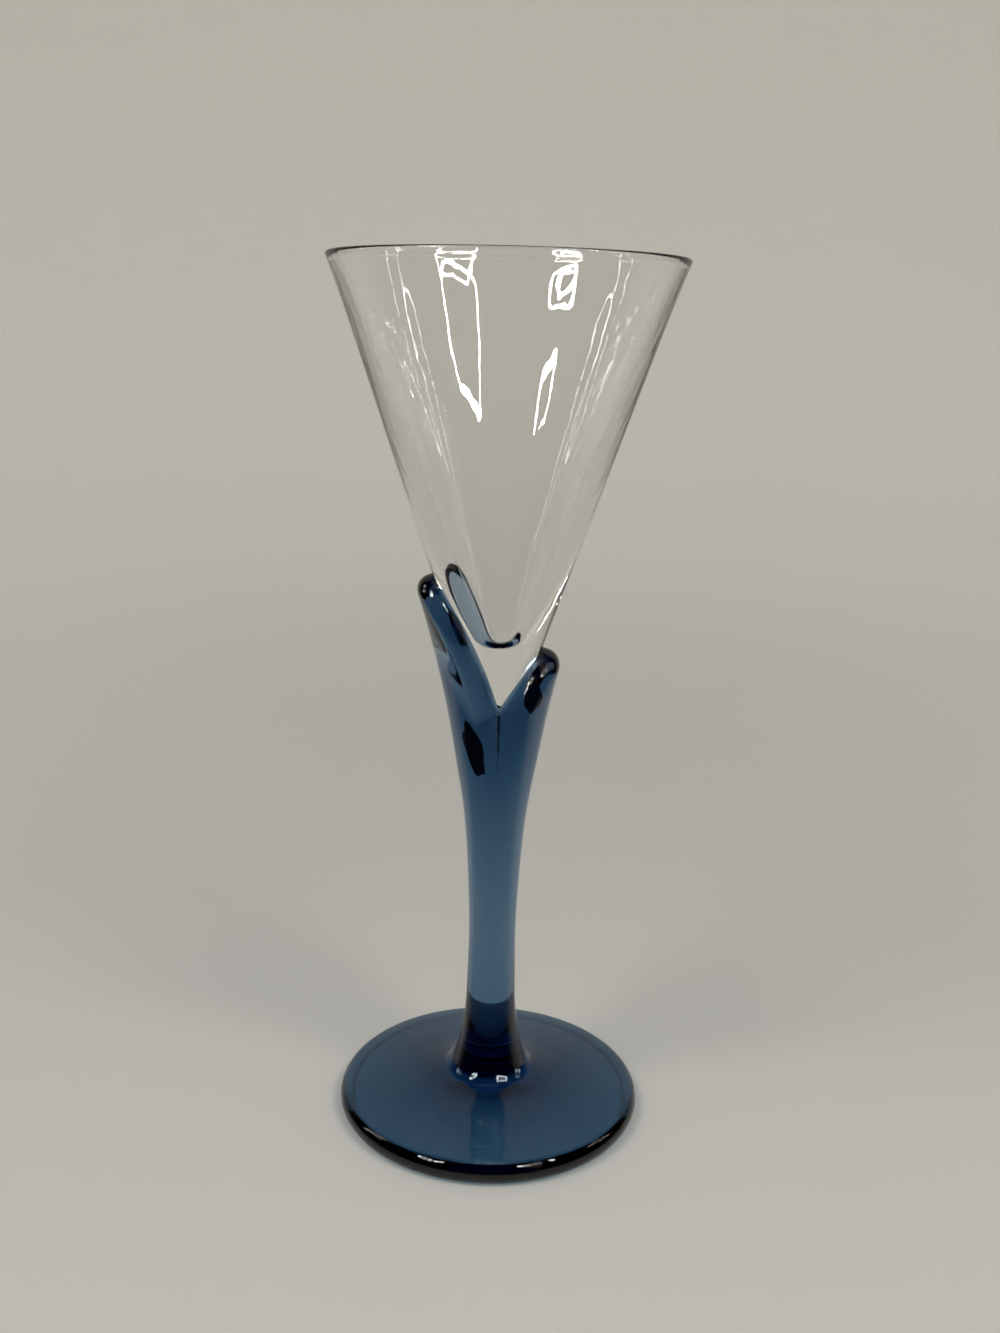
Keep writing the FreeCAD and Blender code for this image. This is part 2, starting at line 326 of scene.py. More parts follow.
@dataclass(frozen=True)
class CalyxShape:
    """Sizes of the stem and its calyx, where a rise is a height above the bowl's outer apex."""

    bowl: BowlShape
    joint_height: float
    joint_radius: float = 9.5 * MILLIMETRE
    waist_height: float = 45.5 * MILLIMETRE
    waist_radius: float = 5.87 * MILLIMETRE
    swell_rise: float = 2.0 * MILLIMETRE
    swell_radius: float = 9.85 * MILLIMETRE
    wall: float = 4.8 * MILLIMETRE
    tall_leaf_rise: float = 48.1 * MILLIMETRE
    short_leaf_rise: float = 30.6 * MILLIMETRE
    notch_rise: float = 16.7 * MILLIMETRE
    lip_radius: float = 3.6 * MILLIMETRE
    crease_length: float = 16.0 * MILLIMETRE
    crease_reach_share: float = 0.26
    base_share: float = 0.3
    tall_leaf_angle: float = math.radians(187)
    short_leaf_angle: float = 0.0
    back_notch_angle: float = math.radians(88)
    front_notch_angle: float = math.radians(-88)
    rise_power: float = 1.3
    start_share: float = 0.006
    flare_height_shares: tuple = (0.0, 0.07, 0.15, 0.25, 0.40, 0.65)
    flare_radius_shares: tuple = (1.0, 0.774, 0.565, 0.366, 0.174, 0.063)
    swell_height_shares: tuple = (0.20, 0.40, 0.60, 0.80)
    swell_radius_shares: tuple = (0.04, 0.158, 0.317, 0.598)
    cup_height_shares: tuple = (0.20, 0.40, 0.65, 0.90, 1.12)
    cup_wall_shares: tuple = (1.60, 1.35, 1.13, 1.03, 1.0)

    @property
    def notch(self) -> float:
        """Height of the notches' foot on the bowl."""
        return self.bowl.outer_apex + self.notch_rise

    @property
    def base(self) -> float:
        """Height where the plain stem ends and the calyx's rings begin to tilt."""
        crease_foot = self.notch - self.crease_length
        return self.waist_height + self.base_share * (crease_foot - self.waist_height)

    def outline(self) -> Callable:
        """Radius of the outside as a smooth function of height."""
        waist, slim = self.waist_height, self.waist_radius
        swell = self.bowl.outer_apex + self.swell_rise
        cup = between(swell, self.bowl.outer_apex + self.tall_leaf_rise, self.cup_height_shares)
        places = between(self.joint_height, waist, self.flare_height_shares) + [waist]
        places += between(waist, swell, self.swell_height_shares) + [swell] + cup
        radii = between(slim, self.joint_radius, self.flare_radius_shares) + [slim]
        radii += between(slim, self.swell_radius, self.swell_radius_shares) + [self.swell_radius]
        for place, wall in zip(cup, self.cup_wall_shares):
            radii.append(self.bowl.cone_radius(place) + wall * self.wall)
        return smooth_curve(places, radii)

    def flank_place(self, share: np.ndarray, leaf_rise: float) -> tuple[np.ndarray, np.ndarray]:
        """Height and slope of the leaves' edge, a share of the way from notch to leaf.

        Args:
            share: 0 at the notch, 1 at the leaf's middle.
            leaf_rise: How far the leaf's top stands above the bowl's outer apex.

        Returns:
            The height, and its slope for a share.
        """
        full = math.hypot(1, self.start_share) - self.start_share
        turn = (np.hypot(share, self.start_share) - self.start_share) / full * math.pi / 2
        rise = leaf_rise - self.notch_rise
        height = self.notch + rise * np.sin(turn) ** self.rise_power
        steepness = self.rise_power * np.sin(turn) ** (self.rise_power - 1) * np.cos(turn)
        eased = share / np.hypot(share, self.start_share) / full
        return height, rise * steepness * eased * math.pi / 2

    def flanks(self) -> list[tuple[float, float, float]]:
        """Each flank's leaf angle, notch angle and leaf rise, round from the tall leaf."""
        return [
            (self.tall_leaf_angle, self.back_notch_angle, self.tall_leaf_rise),
            (self.short_leaf_angle, self.back_notch_angle, self.short_leaf_rise),
            (self.short_leaf_angle, self.front_notch_angle, self.short_leaf_rise),
            (self.tall_leaf_angle - math.tau, self.front_notch_angle, self.tall_leaf_rise),
        ]

    def edge_height(self, angle: np.ndarray) -> np.ndarray:
        """Height of the leaves' edge on the bowl at each angle round the axis."""
        turned = (angle - self.tall_leaf_angle) % math.tau + self.tall_leaf_angle - math.tau
        height = np.zeros_like(turned)
        for leaf, notch, leaf_rise in self.flanks():
            share = (turned - notch) / (leaf - notch)
            for whole_turn in (0, math.tau):
                shifted = share - whole_turn / (leaf - notch)
                here = (shifted >= 0) & (shifted <= 1)
                height = np.where(here, self.flank_place(np.clip(shifted, 0, 1), leaf_rise)[0], height)
        return height


@dataclass(frozen=True)
class FootShape:
    """Sizes of the foot: a thick disc with a rounded edge and a hollowed underside."""

    radius: float
    joint_height: float
    joint_radius: float = 9.5 * MILLIMETRE
    edge_thickness: float = 5.7 * MILLIMETRE
    edge_reach: float = 2.3 * MILLIMETRE
    ring_radius: float = 35.0 * MILLIMETRE
    ring_width: float = 2.0 * MILLIMETRE
    kick: float = 1.6 * MILLIMETRE
    radius_shares: tuple = (0.045, 0.125, 0.246, 0.436, 0.70)
    rise_shares: tuple = (0.80, 0.635, 0.49, 0.35, 0.175)


@dataclass(frozen=True)
class GlassFinish:
    """A polished glass, tinted through its body and faintly rippled by the hand work."""

    name: str
    index: float = 1.52
    absorbed: tuple = (0.0, 0.0, 0.0)
    ripple_scale: tuple = (60.0, 60.0, 22.0)
    ripple_depth: float = 0.05 * MILLIMETRE
    streak_scale: tuple = (420.0, 420.0, 14.0)
    streak_depth: float = 0.01 * MILLIMETRE
    lamp_share: float = 0.86
    seed: float = 0.0

    def build(self, fused: bool) -> bpy.types.Material:
        """Make the material.

        Args:
            fused: True if the piece carries the fused attribute on its faces.

        Returns:
            The new material.
        """
        material, bench = Bench.material(self.name)
        glass = bench.add(
            "ShaderNodeBsdfPrincipled",
            Base_Color=WHITE,
            Roughness=0.0,
            Transmission_Weight=1.0,
            IOR=self.index,
            Normal=self.relief(bench),
        )
        if fused:
            fading = {"Value": bench.attribute("fused"), "To_Min": self.index, "To_Max": 1.0}
            bench.fill(glass, {"IOR": bench.add("ShaderNodeMapRange", **fading)})
        through = bench.add("ShaderNodeBsdfTransparent", Color=(self.lamp_share,) * 3 + OPAQUE)
        shadow = bench.add("ShaderNodeLightPath").outputs["Is Shadow Ray"]
        output = bench.finish(bench.mixed(shadow, glass, through))
        density = max(self.absorbed)
        if density > 0:
            tint = tuple(1 - share / density for share in self.absorbed) + OPAQUE
            body = bench.add("ShaderNodeVolumeAbsorption", Density=density, Color=tint)
            bench.fill(output, {"Volume": body})
        return material

    def relief(self, bench: Bench) -> bpy.types.Node:
        """Add the ripple and the drawn streaks, and return the node that gives their normal."""
        place = bench.add("ShaderNodeTexCoord").outputs["Object"]
        bump = {"Strength": 1.0}
        for scale, depth in ((self.ripple_scale, self.ripple_depth), (self.streak_scale, self.streak_depth)):
            mapping = bench.add("ShaderNodeMapping", Vector=place, Scale=scale, Location=(self.seed,) * 3)
            noise = bench.add("ShaderNodeTexNoise", Vector=mapping, Scale=1.0, Detail=1.0)
            bump |= {"Distance": depth, "Height": noise}
            bump["Normal"] = bench.add("ShaderNodeBump", **bump)
        return bump["Normal"]


@dataclass(frozen=True)
class FusedFinish:
    """The bowl's outside where blue glass is fused to it: light passes straight through."""

    name: str = "fused_glass"

    def build(self) -> bpy.types.Material:
        """Make the material."""
        material, bench = Bench.material(self.name)
        bench.finish(bench.open_air())
        return material


@dataclass(frozen=True)
class PaperFinish:
    """Matte paper with a faint mottle, darker near the glass and lighter far off: painted shade near the
    glass and painted light far off, so that the paper looks evenly bright under lamps whose light falls off
    with distance.
    """

    colour: tuple
    far_colour: tuple
    far_start: float
    far_end: float
    name: str = "pale_paper"
    roughness: float = 0.95
    specular: float = 0.1
    mottle_share: float = 0.015
    mottle_scale: float = 6.0
    mottle_detail: float = 4.0

    def build(self) -> bpy.types.Material:
        """Make the material."""
        material, bench = Bench.material(self.name)
        place = bench.add("ShaderNodeTexCoord").outputs["Object"]
        noise = bench.add("ShaderNodeTexNoise", Vector=place, Scale=self.mottle_scale)
        bench.fill(noise, {"Detail": self.mottle_detail})
        spread = {"To_Min": -self.mottle_share, "To_Max": self.mottle_share}
        mottle = bench.add("ShaderNodeMapRange", Value=noise, **spread)
        reach = bench.tree.nodes.new("ShaderNodeVectorMath")
        reach.operation = "LENGTH"
        bench.fill(reach, {0: place})
        borders = {"From_Min": self.far_start, "From_Max": self.far_end}
        far = bench.add("ShaderNodeMapRange", Value=reach.outputs["Value"], **borders)
        far.interpolation_type = "SMOOTHSTEP"
        ramp = bench.add("ShaderNodeValToRGB", Fac=bench.maths("ADD", far, mottle))
        for stop, colour in zip(ramp.color_ramp.elements, (self.colour, self.far_colour)):
            stop.color = colour + OPAQUE
        matte = bench.add(
            "ShaderNodeBsdfPrincipled",
            Base_Color=ramp,
            Roughness=self.roughness,
            Specular_IOR_Level=self.specular,
        )
        bench.finish(matte)
        return material


@dataclass(frozen=True)
class LampFinish:
    """Glowing lamp tube, which shows only where the glass mirrors it."""

    lamp: Lamp
    colour: tuple
    glow: float

    def build(self) -> bpy.types.Material:
        """Make the material."""
        material, bench = Bench.material(self.lamp.value)
        tube = bench.add("ShaderNodeEmission", Color=self.colour + OPAQUE, Strength=self.glow)
        bench.finish(bench.mixed(bench.mirrored(), bench.open_air(), tube))
        return material


@dataclass(frozen=True)
class FlagFinish:
    """Black cloth that thins out towards its borders, by its veil attribute.

    Light that only goes straight through the glass, with no mirroring on its way, doesn't meet it.
    """

    name: str = "black_cloth"
    colour: tuple = (0.006, 0.006, 0.006)

    def build(self) -> bpy.types.Material:
        """Make the material."""
        material, bench = Bench.material(self.name)
        cloth = bench.add("ShaderNodeBsdfDiffuse", Color=self.colour + OPAQUE)
        dense = bench.maths("MULTIPLY", bench.attribute("veil"), bench.mirrored())
        bench.finish(bench.mixed(dense, bench.open_air(), cloth))
        return material


def object_of(
    name: str, points: np.ndarray, faces: Sequence, smooth: bool = True, edges: Sequence = ()
) -> bpy.types.Object:
    """Make a mesh object at the origin.

    Args:
        name: The object's name.
        points: An array of points.
        faces: Tuples of point numbers.
        smooth: True for smooth shading.
        edges: Pairs of point numbers, for edges that no face has.

    Returns:
        The object, linked to the scene.
    """
    mesh = bpy.data.meshes.new(name)
    mesh.from_pydata(points.tolist(), edges, faces)
    mesh.update()
    if smooth:
        mesh.shade_smooth()
    thing = bpy.data.objects.new(name, mesh)
    bpy.context.scene.collection.objects.link(thing)
    return thing


def outward(thing: bpy.types.Object) -> None:
    """Turn a closed mesh's faces outwards, and keep its real edges crisp."""
    work = bmesh.new()
    work.from_mesh(thing.data)
    if work.calc_volume(signed=True) < 0:
        bmesh.ops.reverse_faces(work, faces=work.faces)
    work.to_mesh(thing.data)
    work.free()
    thing.data.set_sharp_from_angle(angle=SHARPEST_ROUND)


def mark(thing: bpy.types.Object, name: str, domain: str, values: Sequence[float]) -> None:
    """Write a number on each point or face of a mesh."""
    attribute = thing.data.attributes.new(name, "FLOAT", domain)
    attribute.data.foreach_set("value", np.asarray(values, float).ravel())


def joined_rows(rows: Sequence[np.ndarray], closed: bool = True) -> tuple[np.ndarray, list, list]:
    """Join rows of points with faces.

    Args:
        rows: Rows of equally many points, where a row of one point is a pole.
        closed: True if each row is a ring.

    Returns:
        The points, the faces, and for each face the number of the row that it starts from.
    """
    points = np.concatenate(rows)
    numbers = np.split(np.arange(len(points)), np.cumsum([len(row) for row in rows])[:-1])
    faces, owners = [], []
    for owner, pair in enumerate(zip(numbers, numbers[1:])):
        low, high = np.broadcast_arrays(*pair)
        corners = np.stack([low, np.roll(low, -1), np.roll(high, -1), high], axis=1).tolist()
        band = [tuple(dict.fromkeys(face)) for face in corners[: None if closed else -1]]
        faces += band
        owners += [owner] * len(band)
    return points, faces, owners


def ring_points(angle: np.ndarray, radius: np.ndarray, height: np.ndarray) -> np.ndarray:
    """Points from angle, radius and height, each an array or one number."""
    angle, radius, height = np.broadcast_arrays(angle, radius, height)
    return np.stack([radius * np.cos(angle), radius * np.sin(angle), height], axis=1)


class TurningTree:
    """Geometry Nodes tree that turns a half section round the glass's axis."""

    INPUTS = {
        "Half section": "NodeSocketGeometry",
        "Section points": "NodeSocketInt",
        "Steps round": "NodeSocketInt",
        "Seam distance": "NodeSocketFloat",
        "Glass": "NodeSocketMaterial",
    }

    def __init__(self) -> None:
        """Build the tree once, for every turned piece."""
        self.tree = bpy.data.node_groups.new("turned_on_axis", "GeometryNodeTree")
        for name, kind in self.INPUTS.items():
            self.tree.interface.new_socket(name, in_out="INPUT", socket_type=kind)
        self.tree.interface.new_socket("Turned piece", in_out="OUTPUT", socket_type="NodeSocketGeometry")
        self.wire()

    def wire(self) -> None:
        """Place each grid point on the section and turn it by its column's share of a turn."""
        bench = Bench(self.tree)
        given = bench.add("NodeGroupInput").outputs
        columns = bench.maths("ADD", given["Steps round"], 1.0)
        index = bench.add("GeometryNodeInputIndex")
        row = bench.maths("FLOOR", bench.maths("DIVIDE", index, columns))
        share = bench.maths("DIVIDE", bench.maths("MODULO", index, columns), given["Steps round"])
        sample = self.tree.nodes.new("GeometryNodeSampleIndex")
        sample.data_type = "FLOAT_VECTOR"
        position = bench.add("GeometryNodeInputPosition")
        bench.fill(sample, {"Geometry": given["Half section"], "Value": position, "Index": row})
        turn = self.tree.nodes.new("ShaderNodeVectorRotate")
        turn.rotation_type = "Z_AXIS"
        bench.fill(turn, {"Vector": sample, "Angle": bench.maths("MULTIPLY", share, math.tau)})
        steps = (
            ("GeometryNodeSetPosition", {"Position": turn}),
            ("GeometryNodeMergeByDistance", {"Distance": given["Seam distance"]}),
            ("GeometryNodeSetShadeSmooth", {}),
            ("GeometryNodeRealizeInstances", {}),
            ("GeometryNodeSetMaterial", {"Material": given["Glass"]}),
        )
        piece = bench.add("GeometryNodeMeshGrid", Vertices_X=given["Section points"], Vertices_Y=columns)
        for kind, sockets in steps:
            piece = bench.add(kind, Geometry=piece, **sockets)
        bench.add("NodeGroupOutput", Turned_piece=piece)

    def turn(
        self, name: str, section: np.ndarray, steps: int, glass: bpy.types.Material
    ) -> bpy.types.Object:
        """Turn a half section into a closed plain mesh.

        Args:
            name: The piece's name.
            section: Points as radius and height, from axis to axis.
            steps: Steps round the axis.
            glass: Material of the piece.

        Returns:
            The piece, with its modifier removed.
        """
        points = np.stack([section[:, 0], np.zeros(len(section)), section[:, 1]], axis=1)
        holder = object_of(name, points, [], edges=[(k, k + 1) for k in range(len(points) - 1)])
        modifier = holder.modifiers.new("turned", "NODES")
        modifier.node_group = self.tree
        values = {"Section points": len(points), "Steps round": steps, "Seam distance": SEAM, "Glass": glass}
        for socket in self.tree.interface.items_tree:
            if socket.in_out == "INPUT" and socket.name in values:
                modifier[socket.identifier] = values[socket.name]
        bpy.context.view_layer.update()
        evaluated = holder.evaluated_get(bpy.context.evaluated_depsgraph_get())
        mesh = bpy.data.meshes.new_from_object(evaluated)
        holder.modifiers.remove(modifier)
        half_section, holder.data = holder.data, mesh
        bpy.data.meshes.remove(half_section)
        mesh.name = name
        mesh.materials.clear()
        mesh.materials.append(glass)
        mesh.polygons.foreach_set("material_index", [0] * len(mesh.polygons))
        outward(holder)
        return holder


@dataclass
class Bowl:
    """Clear bowl, whose mesh rows follow the leaves' edge where the calyx is fused to it."""

    shape: BowlShape
    calyx: CalyxShape
    finish: GlassFinish
    fused: FusedFinish
    steps_round: int = 224
    tip_steps: int = 10
    socket_steps: int = 34
    wall_steps: int = 40
    flare_steps: int = 10
    lip_steps: int = 8
    nominal_edge_rise: float = 22.0 * MILLIMETRE

    def section(self) -> np.ndarray:
        """Half section from the outer tip over the rim to the cavity's floor."""
        shape = self.shape
        tip = shape.outer_tip(self.tip_steps)
        edge_height = shape.outer_apex + self.nominal_edge_rise
        flare_foot = shape.height - shape.flare_length
        edge = np.array([shape.cone_radius(edge_height), edge_height])
        foot = np.array([shape.cone_radius(flare_foot), flare_foot])
        outer = shape.flare(foot, shape.outer_slope, self.flare_steps)
        inner_foot = np.array([shape.inner_slope * (flare_foot - shape.inner_apex), flare_foot])
        inner = shape.flare(inner_foot, shape.inner_slope, self.flare_steps)
        lip_top = (outer[-1] + inner[-1]) / 2 + np.array([0, shape.rim_wall / 2])
        floor = shape.tip(shape.inner_apex, shape.inner_slope, shape.cavity_floor_radius, self.tip_steps)
        return joined([
            tip,
            straight(tip[-1], edge, self.socket_steps),
            straight(edge, foot, self.wall_steps),
            outer,
            arc_through(outer[-1], lip_top, inner[-1], self.lip_steps),
            inner[::-1],
            straight(inner_foot, floor[-1], self.wall_steps),
            floor[::-1],
        ])

    def build(self, tree: TurningTree) -> bpy.types.Object:
        """Turn the bowl, then shift its rows to the leaves' edge and mark what is fused.

        Args:
            tree: The tree that turns half sections.

        Returns:
            The finished bowl.
        """
        bowl = tree.turn("bowl_clear", self.section(), self.steps_round, self.finish.build(False))
        mesh, shape = bowl.data, self.shape
        points = np.empty((len(mesh.vertices), 3))
        mesh.vertices.foreach_get("co", points.ravel())
        x, y, nominal = points.T
        radius, angle = np.hypot(x, y), np.arctan2(y, x)
        tip_reach, low = shape.outer_tip(1)[-1]
        middle = shape.outer_apex + self.nominal_edge_rise
        high = shape.height - shape.flare_length
        outside = np.abs(radius - shape.cone_radius(nominal)) < SLACK
        outside &= (nominal > low) & (nominal < high)
        edge = self.calyx.edge_height(angle)
        below = low + (nominal - low) * (edge - low) / (middle - low)
        above = edge + (nominal - middle) * (high - edge) / (high - middle)
        height = np.where(outside, np.where(nominal <= middle, below, above), nominal)
        shifted = ring_points(angle, np.where(outside, shape.cone_radius(height), radius), height)
        mesh.vertices.foreach_set("co", shifted.ravel())
        mesh.materials.append(self.fused.build())
        at_tip = (radius <= tip_reach + SLACK) & (nominal <= low + SLACK)
        socket = at_tip | (outside & (nominal <= middle + SLACK))
        for face in mesh.polygons:
            face.material_index = int(all(socket[corner] for corner in face.vertices))
        mesh.update()
        return bowl


@dataclass(frozen=True)
class ShadePatchFinish:
    """Near-black wall of a thin painted shade patch in the blue glass: painted shade for dark surroundings
    that the glass mirrors and bends there.
    """

    name: str = "painted_shade_patch"
    colour: tuple = (0.004, 0.007, 0.012)
    roughness: float = 0.02
    specular: float = 0.0

    def build(self) -> bpy.types.Material:
        """Make the material."""
        material, bench = Bench.material(self.name)
        wall = bench.add(
            "ShaderNodeBsdfPrincipled",
            Base_Color=self.colour + OPAQUE,
            Roughness=self.roughness,
            Specular_IOR_Level=self.specular,
        )
        bench.finish(wall)
        return material


@dataclass(frozen=True)
class ShadePatch:
    """Thin near-black patch of painted shade, standing upright in the wall of the blue glass."""

    azimuth: float
    radius: float
    height: float
    half_width: float
    half_length: float
    lean: float
    phase: float
    half_thickness: float = 0.15 * MILLIMETRE
    ragged: float = 0.16
    waves: tuple = (2, 5)
    rings: int = 6
    steps_round: int = 40

    def shell(self) -> tuple[np.ndarray, list]:
        """Points and faces of the shade patch's wall, whose faces point into the patch."""
        turn = np.linspace(0, math.tau, self.steps_round, endpoint=False)
        waves = [np.sin(wave * turn + order * self.phase) / order for order, wave in enumerate(self.waves, 1)]
        edge = 1 + self.ragged * sum(waves)
        rows = []
        last = self.rings * 2
        for number in range(last + 1):
            share = number / last * math.pi
            reach, lift = math.sin(share), math.cos(share)
            across = self.half_width * reach * edge * np.cos(turn)
            along = self.half_length * reach * edge * np.sin(turn)
            wide = across * math.cos(self.lean) + along * math.sin(self.lean)
            high = along * math.cos(self.lean) - across * math.sin(self.lean)
            ring = self.placed(wide, high, lift * self.half_thickness)
            rows.append(ring[:1] if number in (0, last) else ring)
        return joined_rows(rows)[:2]

    def placed(self, wide: np.ndarray, high: np.ndarray, off: float) -> np.ndarray:
        """Points across, up and off the shade patch's upright sheet."""
        outward_way = np.array([math.cos(self.azimuth), math.sin(self.azimuth), 0.0])
        sideways = np.array([-outward_way[1], outward_way[0], 0.0])
        centre = outward_way * (self.radius + off) + np.array([0.0, 0.0, self.height])
        return centre + wide[:, None] * sideways + high[:, None] * np.array([0.0, 0.0, 1.0])


@dataclass
class CalyxStem:
    """Blue stem and calyx: rings that follow the leaves' edge, the lips' round and the crease."""

    shape: CalyxShape
    finish: GlassFinish
    flank_steps: int = 44
    flank_crowding: float = 1.5
    disc_steps: int = 6
    stem_steps: int = 64
    wall_steps: int = 44
    round_steps: int = 12
    lip_steps: int = 3
    socket_steps: int = 20
    tip_steps: int = 8
    # Width and length of the thin dark line of painted shade in the crease below each notch
    crease_shade_half_width: float = 0.36 * MILLIMETRE
    crease_shade_length: float = 15.0 * MILLIMETRE
    # Near-black shells in the glass: painted shade for dark patches that the glass mirrors and bends
    shade_patches: tuple = (
        ShadePatch(
            azimuth=math.radians(-131),
            radius=6.9 * MILLIMETRE,
            height=97.4 * MILLIMETRE,
            half_width=2.1 * MILLIMETRE,
            half_length=7.2 * MILLIMETRE,
            lean=math.radians(-20),
            phase=0.6,
        ),
        ShadePatch(
            azimuth=math.radians(-35),
            radius=9.6 * MILLIMETRE,
            height=111.0 * MILLIMETRE,
            half_width=1.8 * MILLIMETRE,
            half_length=4.8 * MILLIMETRE,
            lean=math.radians(24),
            phase=1.2,
        ),
    )

    def in_crease_shade(self, place: Vector) -> bool:
        """True for a place on the thin dark line of painted shade in the crease below a notch, where the
        leaves' skins meet.
        """
        share = (place.z - self.shape.notch + self.crease_shade_length) / self.crease_shade_length
        if not 0 < share < 1:
            return False
        angle, radius = math.atan2(place.y, place.x), math.hypot(place.x, place.y)
        notches = (self.shape.front_notch_angle, self.shape.back_notch_angle)
        return any(abs(wrapped(angle - notch)) * radius < self.crease_shade_half_width * share for notch in notches)

    def edge_stations(self) -> tuple[np.ndarray, np.ndarray, np.ndarray, np.ndarray]:
        """Share, angle, height and slope along the leaves' edge, round from the tall leaf."""
        columns = []
        crowded = (np.arange(self.flank_steps + 1) / self.flank_steps) ** self.flank_crowding
        for number, (leaf, notch, leaf_rise) in enumerate(self.shape.flanks()):
            share = (crowded if number % 2 else crowded[::-1])[:-1]
            height, slope = self.shape.flank_place(share, leaf_rise)
            span = leaf - notch
            columns.append(np.stack([share, notch + share * span, height, slope / span]))
        return tuple(np.concatenate(columns, axis=1))

    def edge_ring(self, stand_off: Callable, setback_share: float) -> tuple:
        """Angle, radius and height of stations off the bowl and back from the leaves' edge.

        Args:
            stand_off: Distance from the bowl's cone, as a function of height.
            setback_share: 0 at the edge, 1 where the lip's round begins.

        Returns:
            Arrays of angle, radius and height.
        """
        shape, bowl = self.shape, self.shape.bowl
        share, angle, height, slope = self.edge_stations()
        lean = bowl.lean
        reach = bowl.cone_radius(height) + stand_off(height) * math.cos(lean)
        climb = slope / math.cos(lean)
        size = np.hypot(climb, reach)
        away = 1 - (1 - np.clip(share / shape.crease_reach_share, 0, 1)) ** 2
        aside = shape.lip_radius * climb / size * away
        below = shape.lip_radius * reach / size * away + shape.crease_length * (1 - away)
        level = height - setback_share * below * math.cos(lean)
        off = stand_off(level - stand_off(level) * math.sin(lean))
        low = level - off * math.sin(lean)
        reach = bowl.cone_radius(low) + off / math.cos(lean)
        return angle + setback_share * aside / reach, reach, low

    def rows(self) -> tuple[list[np.ndarray], int, int]:
        """Every ring of points, from the joint's middle to the socket's foot.

        Returns:
            The rings, how many belong to the joint's disc, and the number of the ring where
            the socket begins.
        """
        shape, bowl = self.shape, self.shape.bowl
        outline = shape.outline()
        lean = bowl.lean

        def wall(height: np.ndarray) -> np.ndarray:
            """Thickness of the calyx square to the bowl."""
            return (outline(height) - bowl.cone_radius(height)) * math.cos(lean)

        angle, _, top = self.edge_ring(wall, 1.0)
        joint = shape.joint_height
        rows = [np.array([[0.0, 0.0, joint]])]
        for share in steps_to(0, 1, self.disc_steps):
            rows.append(ring_points(angle, share * outline(joint), joint))
        disc_rows = len(rows) - 1
        for height in steps_to(joint, shape.base, self.stem_steps):
            rows.append(ring_points(angle, outline(height), height))
        for share in steps_to(0, 1, self.wall_steps)[:-1]:
            height = shape.base + share * (top - shape.base)
            rows.append(ring_points(angle, outline(height), height))
        for turn in np.linspace(0, math.pi / 2, self.round_steps + 1):
            inset = shape.lip_radius * (1 - math.cos(turn))
            ring = self.edge_ring(lambda height: wall(height) - inset, 1 - math.sin(turn))
            rows.append(ring_points(*ring))
        for share in steps_to(1, 0, self.lip_steps):
            ring = self.edge_ring(lambda height: share * (wall(height) - shape.lip_radius), 0.0)
            rows.append(ring_points(*ring))
        socket_row = len(rows) - 1
        rows += self.socket_rows()
        return rows, disc_rows, socket_row

    def socket_rows(self) -> list[np.ndarray]:
        """Rings down the socket, a hair's breadth outside the bowl."""
        bowl = self.shape.bowl
        _, angle, edge, _ = self.edge_stations()
        tip = bowl.outer_tip(self.tip_steps)
        rows = []
        for share in steps_to(0, 1, self.socket_steps):
            height = edge + share * (tip[-1][1] - edge)
            rows.append(ring_points(angle, bowl.cone_radius(height) + FUSED_GAP, height))
        for radius, height in tip[::-1][1:-1]:
            rows.append(ring_points(angle, radius + FUSED_GAP * radius / bowl.tip_radius, height - FUSED_GAP))
        rows.append(np.array([[0.0, 0.0, tip[0][1] - FUSED_GAP]]))
        return rows

    def build(self) -> bpy.types.Object:
        """Make the stem and calyx, with its fused faces marked."""
        rows, disc_rows, socket_row = self.rows()
        points, faces, owners = joined_rows(rows)
        plain_faces = len(faces)
        skin = [disc_rows <= owner < socket_row - self.lip_steps for owner in owners]
        fused = [owner < disc_rows or owner >= socket_row for owner in owners]
        for shade_patch in self.shade_patches:
            shell, walls = shade_patch.shell()
            faces += [tuple(corner + len(points) for corner in face) for face in walls]
            fused += [False] * len(walls)
            points = np.concatenate([points, shell])
        stem = object_of("stem_and_calyx", points, faces)
        mark(stem, "fused", "FACE", fused)
        outward(stem)
        stem.data.materials.append(self.finish.build(True))
        # Second material: near-black painted shade, for the shade patches and the crease's dark line
        stem.data.materials.append(ShadePatchFinish().build())
        # Skin faces in the crease below a notch are painted near-black: painted shade
        for face in stem.data.polygons:
            in_shade_patch = face.index >= plain_faces
            face.material_index = int(in_shade_patch or (skin[face.index] and self.in_crease_shade(face.center)))
        return stem


